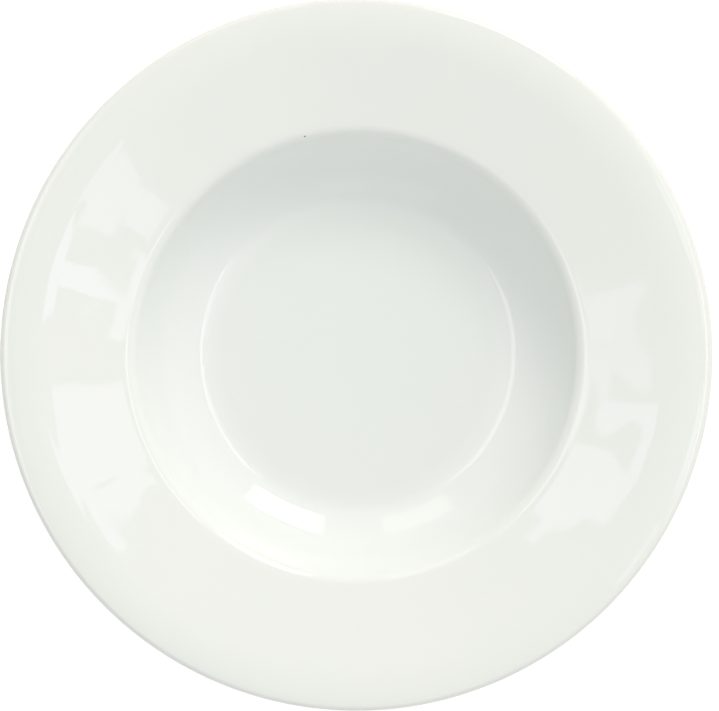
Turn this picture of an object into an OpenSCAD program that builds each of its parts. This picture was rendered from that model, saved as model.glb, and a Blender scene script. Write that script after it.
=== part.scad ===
// Wide-rimmed porcelain pasta bowl, turned about Z and standing on its foot ring at Z = 0.
// All sizes are in millimetres and hold over the glaze.

/* [Well] */
// Diameter of the flat floor, to its corner with the wall
floor_d = 133; // [126:1:142]
// Diameter of the mouth of the well, to the corner of wall and rim
well_d = 188; // [180:1:200]
// Depth of the well, from that corner down to the floor
well_depth = 27.5; // [25:0.5:33]
// Slope of the wall where it leaves the floor, in degrees
wall_foot_angle = 20; // [14:1:26]
// Slope of the wall below the rim, in degrees
wall_top_angle = 67; // [62:1:74]
// Rounding between the floor and the wall
floor_round = 12; // [6:0.5:15]
// Rounding of the shoulder, where the wall turns over into the rim
shoulder_round = 6; // [4:0.5:9]

/* [Rim] */
// Diameter over the lip
bowl_d = 300; // [270:1:330]
// Slope of the rim above the shoulder, in degrees
rim_angle = 10; // [8:0.5:12]
// Width of the outer band in which the rim eases off and turns over its crest
ease_w = 11.5; // [10.5:0.5:14.5]
// Slope of the rim past its crest, in degrees, below 0 where it falls
crest_angle = -2; // [-4:0.5:0]
// Width from the outer bend of the crest to the lip
crest_w = 3.2; // [2.9:0.1:4]
// Slope at which the rim falls from that bend to the lip, in degrees
lip_drop = 8; // [4:1:12]
// Height of the edge of the lip
lip_h = 4.2; // [4:0.1:5]
// How much steeper the underside of the rim rises than its top, in degrees
rim_taper = 0.6; // [0:0.1:1.2]
// Rounding of the upper edge of the lip
lip_round = 2.6; // [2.2:0.1:3.2]
// Rounding of the lower edge of the lip
lip_under_round = 1.4; // [0.8:0.1:1.4]

/* [Walls] */
// Thickness of the floor
floor_t = 5.2; // [4.5:0.1:7]
// Thickness of the wall where it leaves the floor
wall_t = 5; // [4.2:0.1:6]
// Thickness at the shoulder, square to the underside of the wall
shoulder_t = 6.3; // [5.6:0.1:7.5]
// How much the underside of the wall eases off below the rim, in degrees
wall_ease = 11; // [7:1:15]
// Rounding in the hollow below the shoulder
under_shoulder_round = 11; // [5:0.5:14]

/* [Foot ring] */
// Outer diameter of the bare ring on the table
foot_d = 128; // [118:1:132]
// Width of the bare ring on the table
foot_w = 5; // [4:0.1:8]
// Lean of the ring's two sides, in degrees
foot_draft = 9; // [0:1:15]
// Height of the base above the table, inside the ring
base_gap = 4.2; // [3.6:0.1:6]
// Rounding of the ring's two edges on the table
foot_edge_round = 1.1; // [0.4:0.1:1.4]
// Rounding where the ring meets the wall and the base
foot_root_round = 2.2; // [1:0.1:2.6]

/* [Glaze] */
// Thickness of the glaze
glaze_t = 0.3; // [0.2:0.05:0.5]
// Height of the bare band between the table and the glaze line
bare_h = 1.6; // [1.4:0.1:2]

/* [Hidden] */

// How far a straight run may cut inside a rounding
chord_sag = 0.01;
// Facets of a full turn
turn_facets = 240;
body_colour = "#f1ece1";
glaze_colour = "#ebeee7";

// Rounding of a corner that stays sharp
no_round = 0;
// Slope of an upright line
upright = 90;

// Geometry helpers: a place is [radius, height], and an angle is a slope in degrees

// Unit vector that rises outwards at a slope
function along(angle) = [cos(angle), sin(angle)];

// Place at a distance square below a line of the given slope
function below(place, angle, distance) = place - distance * along(angle + upright);

// Place where two lines of the given slopes cross
function meet(p, p_angle, q, q_angle) =
    p + along(p_angle) * cross(q - p, along(q_angle)) / sin(q_angle - p_angle);

// Corners of an outline are [radius, height, rounding], with the solid on the left of the way along
function place(corner) = [corner[0], corner[1]];
function corner(place, rounding) = [place[0], place[1], rounding];
function heading(corners, i) =
    let (step = place(corners[i + 1]) - place(corners[i])) step / norm(step);
function left_of(way) = [-way[1], way[0]];
function is_end(corners, i) = i == 0 || i == len(corners) - 1;

// Angle by which the outline turns left at a corner
function turn_at(corners, i) =
    let (a = heading(corners, i - 1), b = heading(corners, i)) atan2(cross(a, b), a * b);

// Length that a rounding takes from both runs at its corner
function tangent_at(corners, i) =
    is_end(corners, i) ? 0 : corners[i][2] * tan(abs(turn_at(corners, i)) / 2);

// Share of their tangents that the two roundings on the run after corner i can have
function run_share(corners, i) =
    let (
        run = norm(place(corners[i + 1]) - place(corners[i])),
        wanted = tangent_at(corners, i) + tangent_at(corners, i + 1)
    )
    wanted > run ? run / wanted : 1;

// Points of one rounding, as an arc from the first tangent point to the second
function arc_points(corners, i) =
    let (
        turn = turn_at(corners, i),
        share = min(run_share(corners, i - 1), run_share(corners, i)),
        radius = corners[i][2] * share,
        start = place(corners[i]) - heading(corners, i - 1) * tangent_at(corners, i) * share,
        out = left_of(heading(corners, i - 1)) * sign(turn),
        centre = start + out * radius,
        widest_step = 2 * acos(max(0, 1 - chord_sag / radius)),
        steps = ceil(abs(turn) / widest_step)
    )
    [for (k = [0:steps]) let (a = turn * k / steps)
        centre - radius * [out[0] * cos(a) - out[1] * sin(a), out[0] * sin(a) + out[1] * cos(a)]];

// Points of an outline with its roundings, once each where two arcs meet
function rounded(corners) = distinct([
    for (i = [0:len(corners) - 1])
        each is_end(corners, i) || corners[i][2] <= no_round
            ? [place(corners[i])]
            : arc_points(corners, i)
]);
function distinct(points) = [
    for (i = [0:len(points) - 1])
        if (i == 0 || norm(points[i] - points[i - 1]) > chord_sag) points[i]
];

// The same outline moved to its left, into the solid, with the roundings still concentric
function inset(corners, distance) = [
    for (i = [0:len(corners) - 1])
        let (
            a = left_of(heading(corners, max(i - 1, 0))),
            b = left_of(heading(corners, min(i, len(corners) - 2))),
            turn = is_end(corners, i) ? 0 : turn_at(corners, i),
            rounding = corners[i][2]
        )
        corner(
            place(corners[i]) + distance * (a + b) / (1 + a * b),
            rounding <= no_round ? no_round : rounding - sign(turn) * distance
        )
];

function reversed(points) = [for (i = [len(points) - 1:-1:0]) points[i]];

// Corners of the upper surface, from the floor to the lip
floor_z = base_gap + floor_t;
floor_centre = [0, floor_z];
floor_corner = [floor_d / 2, floor_z];
shoulder = [well_d / 2, floor_z + well_depth];
wall_bend = meet(floor_corner, wall_foot_angle, shoulder, wall_top_angle);
lip_edge = [bowl_d / 2, 0];
rim_ease = meet(shoulder, rim_angle, lip_edge - [ease_w, 0], upright);
crest = meet(rim_ease, crest_angle, lip_edge - [crest_w, 0], upright);
lip_top = meet(crest, -lip_drop, lip_edge, upright);

// Corners of the underside, from the foot ring to the lip
under_angle = wall_top_angle - wall_ease;
wall_under = below(floor_corner, wall_foot_angle, wall_t);
shoulder_under = below(shoulder, under_angle, shoulder_t);
under_bend = meet(wall_under, wall_foot_angle, shoulder_under, under_angle);
lip_bottom = lip_top - [0, lip_h];
rim_under = meet(lip_bottom, crest_angle + rim_taper, lip_edge - [ease_w, 0], upright);
under_shoulder = meet(rim_under, rim_angle + rim_taper, shoulder_under, under_angle);

// Sides of the foot ring over the glaze, at the table's height
glaze_step = glaze_t / cos(foot_draft);
foot_side_angle = upright - foot_draft;
foot_outer = [foot_d / 2, 0];
foot_inner = foot_outer - [foot_w, 0];
outer_side = foot_outer + [glaze_step, 0];
inner_side = foot_inner - [glaze_step, 0];
foot_root = meet(outer_side, foot_side_angle, wall_under, wall_foot_angle);
base_edge = inner_side + base_gap * [-tan(foot_draft), 1];

// The glaze line runs below the root of the ring, so it is lower on a low ring
glaze_line_h = min(bare_h, foot_root[1] - 2 * glaze_t);
outer_glaze_line = outer_side + glaze_line_h * [tan(foot_draft), 1];
inner_glaze_line = inner_side + glaze_line_h * [-tan(foot_draft), 1];

// Length that a rounding takes from the run between slopes a and b
function taken(rounding, a, b) = rounding * tan(abs(b - a) / 2);

// The widest arc from slope a to slope b at the corner q, beside the roundings at p and s
function widest(p, p_taken, q, a, b, s, s_taken) =
    min(norm(q - p) - p_taken, norm(s - q) - s_taken) / tan(abs(b - a) / 2);

// The wall, the crest of the rim, its outer bend and the undersides are arcs as wide as their runs allow
floor_taken = taken(floor_round, 0, wall_foot_angle);
shoulder_taken = taken(shoulder_round, wall_top_angle, rim_angle);
lip_taken = taken(lip_round, -lip_drop, -upright);
lip_under_taken = taken(lip_under_round, crest_angle + rim_taper, upright);
root_taken = taken(foot_root_round, foot_side_angle, wall_foot_angle);
hollow_taken = taken(under_shoulder_round, under_angle, rim_angle + rim_taper);
wall_round = widest(
    floor_corner, floor_taken, wall_bend, wall_foot_angle, wall_top_angle, shoulder, shoulder_taken);
under_round = widest(
    foot_root, root_taken, under_bend, wall_foot_angle, under_angle, under_shoulder, hollow_taken);
crest_round = widest(rim_ease, no_round, crest, crest_angle, -lip_drop, lip_top, lip_taken);
crest_taken = taken(crest_round, crest_angle, -lip_drop);
ease_round = widest(shoulder, shoulder_taken, rim_ease, rim_angle, crest_angle, crest, crest_taken);
under_ease_round = widest(
    under_shoulder, hollow_taken, rim_under, rim_angle, crest_angle, lip_bottom, lip_under_taken);

// Outline of the glaze, from its line on the outside of the foot over the lip to the middle of the floor
coat_corners = [
    corner(outer_glaze_line, no_round),
    corner(foot_root, foot_root_round),
    corner(under_bend, under_round),
    corner(under_shoulder, under_shoulder_round),
    corner(rim_under, under_ease_round),
    corner(lip_bottom, lip_under_round),
    corner(lip_top, lip_round),
    corner(crest, crest_round),
    corner(rim_ease, ease_round),
    corner(shoulder, shoulder_round),
    corner(wall_bend, wall_round),
    corner(floor_corner, floor_round),
    corner(floor_centre, no_round)
];

// Outline of the glaze from the middle of the base to the glaze line on the inside of the foot
base_corners = [
    corner([0, base_gap], no_round),
    corner(base_edge, foot_root_round),
    corner(inner_glaze_line, no_round)
];

// Outline of the bare ring on the table
foot_corners = [
    corner(foot_inner, foot_edge_round),
    corner(foot_outer, foot_edge_round)
];

// Solid of an outline turned about Z
module turned(points) {
    rotate_extrude($fn = turn_facets) polygon(points);
}

// Layer of glaze between its own outline and the body's
module glaze_layer(corners) {
    turned(concat(rounded(corners), reversed(rounded(inset(corners, glaze_t)))));
}

// Fired body, pressed in one piece with its foot ring
module porcelain_body() {
    color(body_colour)
        turned(rounded(concat(inset(base_corners, glaze_t), foot_corners, inset(coat_corners, glaze_t))));
}

// Glaze over the outside, the lip, the rim and the well
module glaze_coat() {
    color(glaze_colour) glaze_layer(coat_corners);
}

// Glaze in the hollow of the base
module base_glaze() {
    color(glaze_colour) glaze_layer(base_corners);
}

porcelain_body();
glaze_coat();
base_glaze();
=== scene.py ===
import math

import bpy
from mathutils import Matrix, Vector


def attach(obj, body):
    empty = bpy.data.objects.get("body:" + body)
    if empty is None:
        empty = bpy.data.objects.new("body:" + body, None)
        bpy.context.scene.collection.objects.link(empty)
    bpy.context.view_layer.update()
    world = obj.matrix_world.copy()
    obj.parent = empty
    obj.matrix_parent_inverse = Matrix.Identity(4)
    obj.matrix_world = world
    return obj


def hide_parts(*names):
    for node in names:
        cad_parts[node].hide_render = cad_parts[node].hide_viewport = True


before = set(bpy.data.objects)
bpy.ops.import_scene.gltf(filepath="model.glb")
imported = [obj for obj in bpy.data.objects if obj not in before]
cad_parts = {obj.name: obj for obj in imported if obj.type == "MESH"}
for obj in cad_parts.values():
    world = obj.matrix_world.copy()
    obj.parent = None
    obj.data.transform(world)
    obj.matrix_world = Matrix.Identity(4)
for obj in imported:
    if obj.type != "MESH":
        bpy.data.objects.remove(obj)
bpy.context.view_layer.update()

MM = 0.001

# Sizes of the bowl over its glaze, as in the part's source
FLOOR_D = 133 * MM
WELL_D = 188 * MM
WELL_DEPTH = 27.5 * MM
WALL_FOOT_SLOPE = 20
WALL_TOP_SLOPE = 67
FLOOR_ROUND = 12 * MM
SHOULDER_ROUND = 6 * MM
BOWL_D = 300 * MM
RIM_SLOPE = 10
EASE_W = 11.5 * MM
CREST_SLOPE = -2
CREST_W = 3.2 * MM
LIP_DROP = 8
LIP_H = 4.2 * MM
RIM_TAPER = 0.6
LIP_ROUND = 2.6 * MM
LIP_UNDER_ROUND = 1.4 * MM
FLOOR_T = 5.2 * MM
WALL_T = 5 * MM
SHOULDER_T = 6.3 * MM
WALL_EASE = 11
UNDER_SHOULDER_ROUND = 11 * MM
FOOT_D = 128 * MM
FOOT_W = 5 * MM
FOOT_DRAFT = 9
BASE_GAP = 4.2 * MM
FOOT_EDGE_ROUND = 1.1 * MM
FOOT_ROOT_ROUND = 2.2 * MM
GLAZE_T = 0.3 * MM
BARE_H = 1.6 * MM

# How finely the pieces are drawn, and how much coarser where the glaze hides them
RING_GAP = 3 * MM
HIDDEN_RING_GAP = 9 * MM
ARC_STEP = 6
HIDDEN_ARC_STEP = 12
SECTORS = 320
MERGE_GAP = 0.002 * MM
SHARP_EDGE = 40

# Slope of an upright line
UPRIGHT = 90

# Slight warp of the rim from drying and firing, which sets in below the shoulder
WARP_SPAN = 30 * MM
WARP_DROP = 0.18 * MM
WARP_FROM_R = 72 * MM
WARP_FULL_R = 100 * MM

# Glaze and body: colours, roughness and the real sizes of their patterns
GLAZE_WHITER = "#EEEFE7"
GLAZE_GREENER = "#EAEDE5"
GLAZE_POOLED = "#E7EBE4"
# Painted fill light: a lighter, greener glaze that lifts the shade on the wall of the well
WELL_PAINTED_LIGHT = "#EDF0EA"
GLAZE_THIN = "#F0EDE4"
IRON_SPECK = "#4C4038"
GLAZE_IOR = 1.5
GLAZE_ROUGH = (0.015, 0.03)
GLAZE_CLOUD = 45 * MM
GLAZE_RIPPLE = 16 * MM
RIPPLE_H = 0.01 * MM
GLAZE_PEEL = 4 * MM
PEEL_H = 0.001 * MM
POOL_W = 5 * MM
THIN_TINT = 0.6
SPECK_R = 0.45 * MM
SPECK_ANGLE = 103.2
SPECK_SLOPE = 36
BODY_WHITE = "#F1ECE1"
BODY_WARM = "#E9E1D2"
RUB_GREY = "#B9B2A6"
BODY_ROUGH = 0.62
BODY_IOR = 1.55
GRIT = 0.5 * MM
GRIT_H = 0.03 * MM
GRIND_GAP = 0.8 * MM
GRIND_H = 0.02 * MM
GRIND_WAVER = 1.2
GRIND_WAVER_SCALE = 0.4
RUB_SPAN = 9 * MM
RUB_NOISE = (0.5, 0.75)
RUB_TINT = 0.5
# Rings of a wave texture are this many texture units apart
WAVE_PERIOD = 0.31416
# Octaves of the noise in a smooth, a broken and a fine pattern
SMOOTH = 0
BROKEN = 2
FINE = 4
# Places of a Mix node's colour sockets: the two that it mixes, and its result
MIX_FROM = 6
MIX_TO = 7
MIXED = 2

# Room, in metres and degrees: a white floor, and light all round that is dimmer overhead and to the left
FLOOR_SIZE = 12
CARD_WHITE = "#C8C8C6"
CARD_LIFT = 0.68
ROOM_SIDE_LIGHT = 1.08
ROOM_TOP_LIGHT = 0.325
ROOM_DIM_LEAN = 13
ROOM_DIM_AZIMUTH = 168
ROOM_TINT = "#F8FBFF"
WINDOW_ELEVATIONS = (24, 48)
WINDOW_FAR = 5
# Windows and a reflector: name, azimuth, span, radiance; the curtain reaches past its window
WINDOW_PANES = (
    ("window", 66, 20, 8.2),
    ("window_curtain", 66, 28, 2.3),
    ("second_window", 112, 24, 1.3),
    ("reflector", 262, 40, 0.45),
)
WINDOW_TINT = "#FFF8F3"
CEILING = 8
LAMP_TINT = "#E3DFFF"
PANEL_TINT = "#FFFFFF"
# Lamps under the ceiling: name, azimuth, near and far edge from the axis, width, own turn, radiance
CEILING_LAMPS = (
    ("right_softbox", 13, (1.79, 2.20), 0.84, 0, 1.75),
    ("right_softbox_wing", 32.5, (1.74, 1.94), 0.46, 13, 1.75),
    ("right_softbox_end", 20, (1.30, 1.79), 0.44, 0, 1.75),
    ("right_strip", -21.3, (1.90, 2.08), 0.31, 0, 2.2),
    ("right_strip_cap", -19, (2.09, 2.50), 0.82, 10, 2.0),
    ("right_strip_end", -22, (1.40, 1.90), 0.50, 6, 2.2),
    ("right_outer_softbox", -38.5, (1.86, 2.15), 0.58, 5, 1.5),
    ("right_outer_cap", -39, (2.15, 2.22), 0.34, 0, 1.5),
    ("right_outer_end", -42, (1.35, 1.86), 0.36, 6, 1.5),
    ("left_softbox", 154, (2.13, 2.40), 0.70, 0, 1.75),
    ("left_softbox_foot", 168.5, (2.10, 2.26), 0.50, -14, 1.75),
    ("left_softbox_tip", 142, (2.14, 2.22), 0.24, 0, 1.75),
    ("left_softbox_cap", 169, (2.47, 2.62), 0.90, 0, 1.75),
    ("left_strip", 185.5, (2.26, 2.37), 0.90, -5, 1.25),
    ("left_strip_cap", 190, (2.40, 2.62), 1.10, -4, 1.5),
)
CEILING_PANELS = (
    ("right_panel", 5, (2.50, 3.80), 6.0, 0, 2.5),
    ("left_panel", 171, (2.62, 5.20), 6.0, 0, 1.85),
)

# Camera: its lean from straight above, and the bowl's width and place in the frame
IMAGE_W_PX = 719
BOWL_PX = 712.8
CENTRE_OFF_PX = (3.7, -0.3)
CAMERA_FAR = 1.6
CAMERA_LEAN = (1.0, 1.1)


# Section of the bowl: a place is (radius, height), and a slope is in degrees

def along(slope):
    """Step of length 1 along a slope."""
    return Vector((math.cos(math.radians(slope)), math.sin(math.radians(slope))))


def cross(a, b):
    return a.x * b.y - a.y * b.x


def meet(p, p_slope, q, q_slope):
    """Place where two lines of the given slopes cross."""
    reach = cross(q - p, along(q_slope)) / math.sin(math.radians(q_slope - p_slope))
    return p + reach * along(p_slope)


def at_radius(p, slope, radius):
    """Place at which a line of the given slope reaches a radius."""
    return meet(p, slope, Vector((radius, 0)), UPRIGHT)


def below(place, slope, distance):
    """Place on the underside of a line of the given slope, square to it."""
    return place - distance * along(slope + UPRIGHT)


def taken(rounding, a, b):
    """Length that a rounding takes from each run between slopes a and b."""
    return rounding * math.tan(math.radians(abs(b - a) / 2))


def widest(p, p_taken, q, a, b, s, s_taken):
    """The widest arc from slope a to slope b at the corner q, beside the roundings at p and s."""
    room = min((q - p).length - p_taken, (s - q).length - s_taken)
    return room / math.tan(math.radians(abs(b - a) / 2))


def turn_at(corners, i):
    """Angle by which a section turns left at a corner, in radians."""
    a = corners[i][0] - corners[i - 1][0]
    b = corners[i + 1][0] - corners[i][0]
    return math.atan2(cross(a, b), a.dot(b))


def inset(corners, distance):
    """The same section moved to its left, into the solid, with the roundings still concentric."""
    moved = []
    last = len(corners) - 1
    for i, (place, rounding) in enumerate(corners):
        runs = max(i - 1, 0), min(i, last - 1)
        ways = [(corners[k + 1][0] - corners[k][0]).normalized() for k in runs]
        a, b = (Vector((-way.y, way.x)) for way in ways)
        if rounding:
            rounding -= math.copysign(distance, turn_at(corners, i))
        moved.append((place + distance * (a + b) / (1 + a.dot(b)), rounding))
    return moved


# Corners of the upper surface, from the floor to the lip
lip_r = BOWL_D / 2
floor_z = BASE_GAP + FLOOR_T
floor_centre = Vector((0, floor_z))
floor_corner = Vector((FLOOR_D / 2, floor_z))
shoulder = Vector((WELL_D / 2, floor_z + WELL_DEPTH))
wall_bend = meet(floor_corner, WALL_FOOT_SLOPE, shoulder, WALL_TOP_SLOPE)
rim_ease = at_radius(shoulder, RIM_SLOPE, lip_r - EASE_W)
crest = at_radius(rim_ease, CREST_SLOPE, lip_r - CREST_W)
lip_top = at_radius(crest, -LIP_DROP, lip_r)

# Corners of the underside, from the lip to the foot ring
under_slope = WALL_TOP_SLOPE - WALL_EASE
lip_bottom = lip_top - Vector((0, LIP_H))
rim_under = at_radius(lip_bottom, CREST_SLOPE + RIM_TAPER, lip_r - EASE_W)
shoulder_under = below(shoulder, under_slope, SHOULDER_T)
wall_under = below(floor_corner, WALL_FOOT_SLOPE, WALL_T)
under_shoulder = meet(rim_under, RIM_SLOPE + RIM_TAPER, shoulder_under, under_slope)
under_bend = meet(wall_under, WALL_FOOT_SLOPE, shoulder_under, under_slope)

# Sides of the foot ring over the glaze
foot_lean = Vector((math.tan(math.radians(FOOT_DRAFT)), 1))
foot_lean_in = Vector((-foot_lean.x, 1))
glaze_step = Vector((GLAZE_T / math.cos(math.radians(FOOT_DRAFT)), 0))
foot_outer = Vector((FOOT_D / 2, 0))
foot_inner = Vector((FOOT_D / 2 - FOOT_W, 0))
foot_root = meet(foot_outer + glaze_step, UPRIGHT - FOOT_DRAFT, wall_under, WALL_FOOT_SLOPE)
base_edge = foot_inner - glaze_step + BASE_GAP * foot_lean_in
outer_glaze_line = foot_outer + glaze_step + BARE_H * foot_lean
inner_glaze_line = foot_inner - glaze_step + BARE_H * foot_lean_in

# The wall, the crest of the rim, its outer bend and the undersides are arcs as wide as their runs allow
floor_taken = taken(FLOOR_ROUND, 0, WALL_FOOT_SLOPE)
shoulder_taken = taken(SHOULDER_ROUND, WALL_TOP_SLOPE, RIM_SLOPE)
lip_taken = taken(LIP_ROUND, -LIP_DROP, -UPRIGHT)
lip_under_taken = taken(LIP_UNDER_ROUND, CREST_SLOPE + RIM_TAPER, UPRIGHT)
root_taken = taken(FOOT_ROOT_ROUND, UPRIGHT - FOOT_DRAFT, WALL_FOOT_SLOPE)
hollow_taken = taken(UNDER_SHOULDER_ROUND, under_slope, RIM_SLOPE + RIM_TAPER)
wall_round = widest(
    floor_corner, floor_taken, wall_bend, WALL_FOOT_SLOPE, WALL_TOP_SLOPE, shoulder, shoulder_taken)
crest_round = widest(rim_ease, 0, crest, CREST_SLOPE, -LIP_DROP, lip_top, lip_taken)
crest_taken = taken(crest_round, CREST_SLOPE, -LIP_DROP)
ease_round = widest(shoulder, shoulder_taken, rim_ease, RIM_SLOPE, CREST_SLOPE, crest, crest_taken)
under_round = widest(
    foot_root, root_taken, under_bend, WALL_FOOT_SLOPE, under_slope, under_shoulder, hollow_taken)
under_ease_round = widest(
    under_shoulder, hollow_taken, rim_under, RIM_SLOPE, CREST_SLOPE, lip_bottom, lip_under_taken)

# Sections as (place, rounding), with the solid on the left of the way along
coat_section = [
    (outer_glaze_line, 0),
    (foot_root, FOOT_ROOT_ROUND),
    (under_bend, under_round),
    (under_shoulder, UNDER_SHOULDER_ROUND),
    (rim_under, under_ease_round),
    (lip_bottom, LIP_UNDER_ROUND),
    (lip_top, LIP_ROUND),
    (crest, crest_round),
    (rim_ease, ease_round),
    (shoulder, SHOULDER_ROUND),
    (wall_bend, wall_round),
    (floor_corner, FLOOR_ROUND),
    (floor_centre, 0),
]
base_section = [
    (Vector((0, BASE_GAP)), 0),
    (base_edge, FOOT_ROOT_ROUND),
    (inner_glaze_line, 0),
]
foot_section = [
    (foot_inner, FOOT_EDGE_ROUND),
    (foot_outer, FOOT_EDGE_ROUND),
]

# The speck of iron sits where the rounding of the shoulder has its own slope
shoulder_centre = (
    shoulder + shoulder_taken * along(RIM_SLOPE) - SHOULDER_ROUND * along(RIM_SLOPE + UPRIGHT))
speck_on_section = shoulder_centre + SHOULDER_ROUND * along(SPECK_SLOPE + UPRIGHT)
speck_way = speck_on_section.x * along(SPECK_ANGLE)
speck_place = (speck_way.x, speck_way.y, speck_on_section.y)


# Turning a section into a piece

def in_plane(place):
    """A place of the section in space, on the plane of X and Z."""
    return (place.x, 0, place.y)


def start_line(name, place):
    """A new mesh of one point, at the place where a section starts."""
    bpy.ops.object.select_all(action="DESELECT")
    bpy.ops.mesh.primitive_plane_add(size=MM, location=in_plane(place))
    piece = bpy.context.object
    piece.name = name
    bpy.ops.object.transform_apply(location=True, rotation=True, scale=True)
    bpy.ops.object.mode_set(mode="EDIT")
    bpy.ops.mesh.select_all(action="SELECT")
    bpy.ops.mesh.merge(type="CENTER")
    return piece


def run_to(here, there, ring_gap):
    """Extrudes the end of the line straight on, with a ring about every ring_gap."""
    length = (there - here).length
    if length < MERGE_GAP:
        return
    steps = math.ceil(length / ring_gap)
    step = in_plane((there - here) / steps)
    for _ in range(steps):
        bpy.ops.mesh.extrude_vertices_move(TRANSFORM_OT_translate={"value": step})


def draw_section(corners, ring_gap, arc_step):
    """Draws a section on from its first place, straight runs extruded and roundings spun."""
    here = corners[0][0]
    for i in range(1, len(corners) - 1):
        place, rounding = corners[i]
        if not rounding:
            run_to(here, place, ring_gap)
            here = place
            continue
        turn = turn_at(corners, i)
        way_in = (place - corners[i - 1][0]).normalized()
        way_out = (corners[i + 1][0] - place).normalized()
        tangent = rounding * math.tan(abs(turn) / 2)
        arc_start = place - tangent * way_in
        centre = arc_start + math.copysign(rounding, turn) * Vector((-way_in.y, way_in.x))
        run_to(here, arc_start, ring_gap)
        by_length = rounding * abs(turn) / ring_gap
        by_turn = math.degrees(abs(turn)) / arc_step
        bpy.ops.mesh.spin(
            steps=math.ceil(max(by_length, by_turn)), angle=turn,
            center=in_plane(centre), axis=(0, 1, 0))
        here = place + tangent * way_out
    run_to(here, corners[-1][0], ring_gap)


def turn_piece(piece):
    """Spins the drawn line round the bowl's axis into a closed skin."""
    bpy.ops.mesh.select_all(action="SELECT")
    bpy.ops.mesh.spin(steps=SECTORS, angle=2 * math.pi, center=(0, 0, 0), axis=(0, 0, 1))
    bpy.ops.mesh.select_all(action="SELECT")
    bpy.ops.mesh.remove_doubles(threshold=MERGE_GAP)
    bpy.ops.mesh.normals_make_consistent(inside=False)
    bpy.ops.object.mode_set(mode="OBJECT")
    bpy.ops.object.shade_smooth_by_angle(angle=math.radians(SHARP_EDGE))


def warp_in_kiln(piece):
    """Lets the rim sink unevenly by a fraction of a millimetre, while floor and foot stay true."""
    warped = piece.vertex_groups.new(name="warped")
    for vertex in piece.data.vertices:
        share = (vertex.co.xy.length - WARP_FROM_R) / (WARP_FULL_R - WARP_FROM_R)
        warped.add([vertex.index], min(max(share, 0), 1), "REPLACE")
    waves = bpy.data.textures.new("kiln_waves", "CLOUDS")
    waves.noise_scale = WARP_SPAN
    waves.noise_depth = 1
    sink = piece.modifiers.new("kiln_warp", "DISPLACE")
    sink.texture = waves
    sink.texture_coords = "LOCAL"
    sink.direction = "Z"
    # The highest waves stay where they are, so that the rim only sinks
    sink.mid_level = 1
    sink.strength = WARP_DROP
    sink.vertex_group = warped.name
    bpy.ops.object.modifier_apply(modifier=sink.name)


def glaze_layer(name, section):
    """A layer of glaze, from its glossy face back along the face that is fused to the body."""
    fused = inset(section, GLAZE_T)[::-1]
    piece = start_line(name, section[0][0])
    draw_section(section, RING_GAP, ARC_STEP)
    run_to(section[-1][0], fused[0][0], RING_GAP)
    draw_section(fused, HIDDEN_RING_GAP, HIDDEN_ARC_STEP)
    run_to(fused[-1][0], section[0][0], RING_GAP)
    turn_piece(piece)
    warp_in_kiln(piece)
    return piece


def pressed_body(name):
    """The fired body under the glaze, with its bare foot ring."""
    section = inset(base_section, GLAZE_T) + foot_section + inset(coat_section, GLAZE_T)
    piece = start_line(name, section[0][0])
    draw_section(section, HIDDEN_RING_GAP, ARC_STEP)
    turn_piece(piece)
    warp_in_kiln(piece)
    return piece


# Materials

def linear(hex_colour):
    """Linear colour of an sRGB hex value, by the curve of the sRGB standard."""
    channels = [int(hex_colour[k:k + 2], 16) / 255 for k in (1, 3, 5)]
    return [c / 12.92 if c <= 0.04045 else ((c + 0.055) / 1.055) ** 2.4 for c in channels] + [1]


def add(tree, kind, inputs=None, **settings):
    """Adds a node with its settings, and with a value or a link at each named input."""
    node = tree.nodes.new("ShaderNode" + kind)
    for name, value in settings.items():
        setattr(node, name, value)
    for name, value in (inputs or {}).items():
        if isinstance(value, bpy.types.NodeSocket):
            tree.links.new(value, node.inputs[name])
        else:
            node.inputs[name].default_value = value
    return node


def new_material(name):
    """A material with no nodes yet, and its tree."""
    material = bpy.data.materials.new(name)
    material.use_nodes = True
    material.node_tree.nodes.clear()
    return material, material.node_tree


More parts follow.
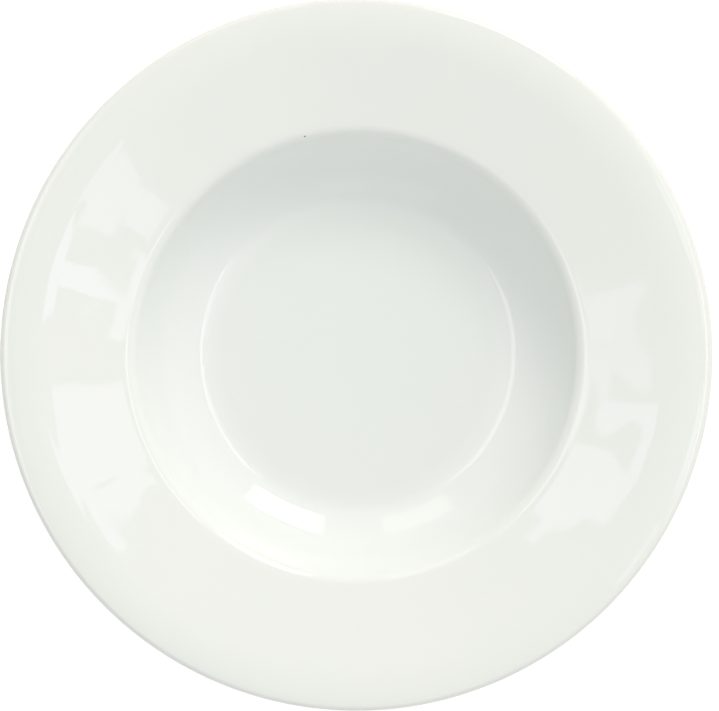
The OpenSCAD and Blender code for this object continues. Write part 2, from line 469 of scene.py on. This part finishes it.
def gloss_glaze():
    """Clear gloss glaze fired on white porcelain.

    The glass melts level, so it mirrors lamps with crisp edges that waver a little. The white body shows
    through it, a touch greener where the glass has pooled on the floor, and warmer where it has drawn
    thin over the lip. Inside the shoulder the glaze is painted lighter and greener, as painted fill
    light that lifts the shade in the well. One speck of iron has come up at the shoulder.
    """
    material, tree = new_material("gloss_glaze_on_porcelain")
    place = add(tree, "TexCoord").outputs["Object"]
    level = add(tree, "VectorMath", {0: place, 1: (1, 1, 0)}, operation="MULTIPLY").outputs[0]
    radius = add(tree, "VectorMath", {0: level}, operation="LENGTH").outputs["Value"]

    clouds = add(tree, "TexNoise", {"Vector": place, "Scale": 1 / GLAZE_CLOUD, "Detail": BROKEN})
    shade = add(tree, "Mix", {
        "Factor": clouds.outputs[0], MIX_FROM: linear(GLAZE_GREENER), MIX_TO: linear(GLAZE_WHITER),
    }, data_type="RGBA")
    # Painted fill light: inside the shoulder the glaze is lighter and greener, which lifts the shade in
    # the well
    reach = add(tree, "MapRange", {
        "Value": radius, "From Min": WELL_D / 2 - POOL_W, "From Max": WELL_D / 2 + POOL_W,
        "To Min": 1, "To Max": 0,
    }, interpolation_type="SMOOTHSTEP")
    painted_well_light = add(tree, "Mix", {
        "Factor": reach.outputs[0], MIX_FROM: shade.outputs[MIXED], MIX_TO: linear(WELL_PAINTED_LIGHT),
    }, data_type="RGBA")
    pool = add(tree, "MapRange", {
        "Value": radius, "From Min": FLOOR_D / 2 - 2 * POOL_W, "From Max": FLOOR_D / 2,
        "To Min": 1, "To Max": 0,
    }, interpolation_type="SMOOTHSTEP")
    pooled = add(tree, "Mix", {
        "Factor": pool.outputs[0], MIX_FROM: painted_well_light.outputs[MIXED], MIX_TO: linear(GLAZE_POOLED),
    }, data_type="RGBA")
    thin = add(tree, "MapRange", {
        "Value": radius, "From Min": lip_r - LIP_ROUND, "From Max": lip_r, "To Max": THIN_TINT,
    }, interpolation_type="SMOOTHSTEP")
    thinned = add(tree, "Mix", {
        "Factor": thin.outputs[0], MIX_FROM: pooled.outputs[MIXED], MIX_TO: linear(GLAZE_THIN),
    }, data_type="RGBA")
    to_speck = add(tree, "VectorMath", {0: place, 1: speck_place}, operation="DISTANCE")
    on_speck = add(tree, "MapRange", {
        "Value": to_speck.outputs["Value"], "From Min": SPECK_R / 2, "From Max": SPECK_R,
        "To Min": 1, "To Max": 0,
    })
    colour = add(tree, "Mix", {
        "Factor": on_speck.outputs[0], MIX_FROM: thinned.outputs[MIXED], MIX_TO: linear(IRON_SPECK),
    }, data_type="RGBA")

    ripple = add(tree, "TexNoise", {"Vector": place, "Scale": 1 / GLAZE_RIPPLE, "Detail": SMOOTH})
    peel = add(tree, "TexNoise", {"Vector": place, "Scale": 1 / GLAZE_PEEL, "Detail": SMOOTH})
    rippled = add(tree, "Bump", {"Height": ripple.outputs[0], "Distance": RIPPLE_H})
    peeled = add(tree, "Bump", {
        "Height": peel.outputs[0], "Distance": PEEL_H, "Normal": rippled.outputs[0],
    })
    haze = add(tree, "MapRange", {
        "Value": clouds.outputs[0], "To Min": GLAZE_ROUGH[0], "To Max": GLAZE_ROUGH[1],
    })
    glass = add(tree, "BsdfPrincipled", {
        "Base Color": colour.outputs[MIXED],
        "Roughness": haze.outputs[0],
        "IOR": GLAZE_IOR,
        "Normal": peeled.outputs[0],
    })
    add(tree, "OutputMaterial", {"Surface": glass.outputs[0]})
    return material


def bare_porcelain():
    """Fired porcelain that was kept free of glaze and ground, so that the bowl doesn't stick or scratch.

    It is a dry, warmer white with a grit, with rings from the grinding wheel and grey rub marks from
    tables on the flat of the foot ring. Grit and rings are coarser than real ones, so that they show.
    """
    material, tree = new_material("bare_ground_porcelain")
    place = add(tree, "TexCoord").outputs["Object"]
    rings = add(tree, "TexWave", {
        "Vector": place, "Scale": 1 / (WAVE_PERIOD * GRIND_GAP), "Distortion": GRIND_WAVER,
        "Detail": BROKEN, "Detail Scale": GRIND_WAVER_SCALE,
    }, wave_type="RINGS", rings_direction="Z")
    rubs = add(tree, "TexNoise", {"Vector": place, "Scale": 1 / RUB_SPAN, "Detail": FINE})
    rubbed = add(tree, "MapRange", {
        "Value": rubs.outputs[0], "From Min": RUB_NOISE[0], "From Max": RUB_NOISE[1], "To Max": RUB_TINT,
    })
    height = add(tree, "SeparateXYZ", {0: place}).outputs["Z"]
    on_table = add(tree, "MapRange", {
        "Value": height, "From Max": FOOT_EDGE_ROUND, "To Min": 1, "To Max": 0,
    }, interpolation_type="SMOOTHSTEP")
    mark = add(tree, "Math", {0: rubbed.outputs[0], 1: on_table.outputs[0]}, operation="MULTIPLY")
    ground = add(tree, "Mix", {
        "Factor": rings.outputs["Fac"], MIX_FROM: linear(BODY_WHITE), MIX_TO: linear(BODY_WARM),
    }, data_type="RGBA")
    colour = add(tree, "Mix", {
        "Factor": mark.outputs[0], MIX_FROM: ground.outputs[MIXED], MIX_TO: linear(RUB_GREY),
    }, data_type="RGBA")
    grit = add(tree, "TexNoise", {"Vector": place, "Scale": 1 / GRIT, "Detail": BROKEN})
    gritty = add(tree, "Bump", {"Height": grit.outputs[0], "Distance": GRIT_H})
    scored = add(tree, "Bump", {
        "Height": rings.outputs["Fac"], "Distance": GRIND_H, "Normal": gritty.outputs[0],
    })
    fired = add(tree, "BsdfPrincipled", {
        "Base Color": colour.outputs[MIXED],
        "Roughness": BODY_ROUGH,
        "IOR": BODY_IOR,
        "Normal": scored.outputs[0],
    })
    add(tree, "OutputMaterial", {"Surface": fired.outputs[0]})
    return material


def shown_to_mirrors(tree):
    """1 for rays from the camera and from glossy or clear surfaces, which all show the backdrop."""
    rays = add(tree, "LightPath").outputs
    bright = add(tree, "Math", {0: rays["Is Camera Ray"], 1: rays["Is Glossy Ray"]}, operation="MAXIMUM")
    return add(tree, "Math", {
        0: bright.outputs[0], 1: rays["Is Transmission Ray"],
    }, operation="MAXIMUM").outputs[0]


def white_floor():
    """White card that is lifted to the backdrop's white where it is seen, and still takes a shadow."""
    material, tree = new_material("white_card")
    card = add(tree, "BsdfDiffuse", {"Color": linear(CARD_WHITE)})
    lift = add(tree, "Math", {0: shown_to_mirrors(tree), 1: CARD_LIFT}, operation="MULTIPLY")
    glow = add(tree, "Emission", {"Strength": lift.outputs[0]})
    both = add(tree, "AddShader", {0: card.outputs[0], 1: glow.outputs[0]})
    add(tree, "OutputMaterial", {"Surface": both.outputs[0]})
    return material


# Pieces of the bowl

glaze = gloss_glaze()
body = bare_porcelain()

glaze_coat = glaze_layer("glaze_coat_piece", coat_section)
base_glaze = glaze_layer("base_glaze_piece", base_section)
porcelain_body = pressed_body("porcelain_body_piece")

for piece, node, slot, material in (
    (glaze_coat, "glaze_coat", "glaze", glaze),
    (base_glaze, "base_glaze", "glaze", glaze),
    (porcelain_body, "porcelain_body", "bare_porcelain", body),
):
    piece.data.materials.append(material)
    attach(piece, "root")
    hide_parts(node)


# Floor, lamps and camera

def lamp(name, place, turn, size, radiance, tint):
    """A rectangular softbox, evenly bright, that the camera itself doesn't see."""
    bpy.ops.object.light_add(type="AREA", location=place, rotation=turn)
    softbox = bpy.context.object
    softbox.name = name
    softbox.data.color = linear(tint)[:3]
    softbox.data.shape = "RECTANGLE"
    softbox.data.size, softbox.data.size_y = size
    softbox.data.energy = radiance * math.pi * size[0] * size[1]
    softbox.visible_camera = False


bpy.ops.object.select_all(action="DESELECT")
bpy.ops.mesh.primitive_plane_add(size=FLOOR_SIZE)
floor = bpy.context.object
floor.name = "floor"
floor.data.materials.append(white_floor())

# Room light, which the camera and mirrors see as an even white
scene = bpy.context.scene
scene.world = bpy.data.worlds.new("white_room")
scene.world.use_nodes = True
room = scene.world.node_tree
room.nodes.clear()
seen = shown_to_mirrors(room)
dim_lean, dim_turn = along(UPRIGHT - ROOM_DIM_LEAN), along(ROOM_DIM_AZIMUTH)
dim_way = (dim_lean.x * dim_turn.x, dim_lean.x * dim_turn.y, dim_lean.y)
to_dim = add(room, "VectorMath", {
    0: add(room, "TexCoord").outputs["Generated"], 1: dim_way,
}, operation="DOT_PRODUCT")
light = add(room, "MapRange", {
    "Value": to_dim.outputs["Value"], "To Min": ROOM_SIDE_LIGHT, "To Max": ROOM_TOP_LIGHT,
}, clamp=False)
strength = add(room, "Mix", {"Factor": seen, "A": light.outputs[0], "B": 1})
background = add(room, "Background", {"Color": linear(ROOM_TINT), "Strength": strength.outputs[0]})
add(room, "OutputWorld", {"Surface": background.outputs[0]})

# Windows and ceiling lamps
window_low, window_high = (WINDOW_FAR * math.tan(math.radians(e)) for e in WINDOW_ELEVATIONS)
for name, azimuth, span, radiance in WINDOW_PANES:
    way = WINDOW_FAR * along(azimuth)
    width = 2 * WINDOW_FAR * math.tan(math.radians(span / 2))
    lamp(
        name, (way.x, way.y, (window_low + window_high) / 2),
        (math.radians(UPRIGHT), 0, math.radians(azimuth + UPRIGHT)),
        (width, window_high - window_low), radiance, WINDOW_TINT)
for lamps, tint in ((CEILING_LAMPS, LAMP_TINT), (CEILING_PANELS, PANEL_TINT)):
    for name, azimuth, (near, far), width, turn, radiance in lamps:
        way = (near + far) / 2 * along(azimuth)
        lamp(
            name, (way.x, way.y, CEILING), (0, 0, math.radians(azimuth + turn)),
            (far - near, width), radiance, tint)

# Camera, aimed at the height at which the lip is widest
lip_z = lip_top.y - lip_taken
aim = Vector((*CENTRE_OFF_PX, 0)) * BOWL_D / BOWL_PX + Vector((0, 0, lip_z))
lean_x, lean_y = (math.radians(lean) for lean in CAMERA_LEAN)
away = CAMERA_FAR * Vector((math.tan(lean_x), math.tan(lean_y), 1))
bpy.ops.object.camera_add(location=aim + away, rotation=(-lean_y, lean_x, 0))
camera = bpy.context.object
camera.data.lens = camera.data.sensor_width * CAMERA_FAR * BOWL_PX / (BOWL_D * IMAGE_W_PX)
scene.camera = camera
scene.view_settings.view_transform = "Standard"
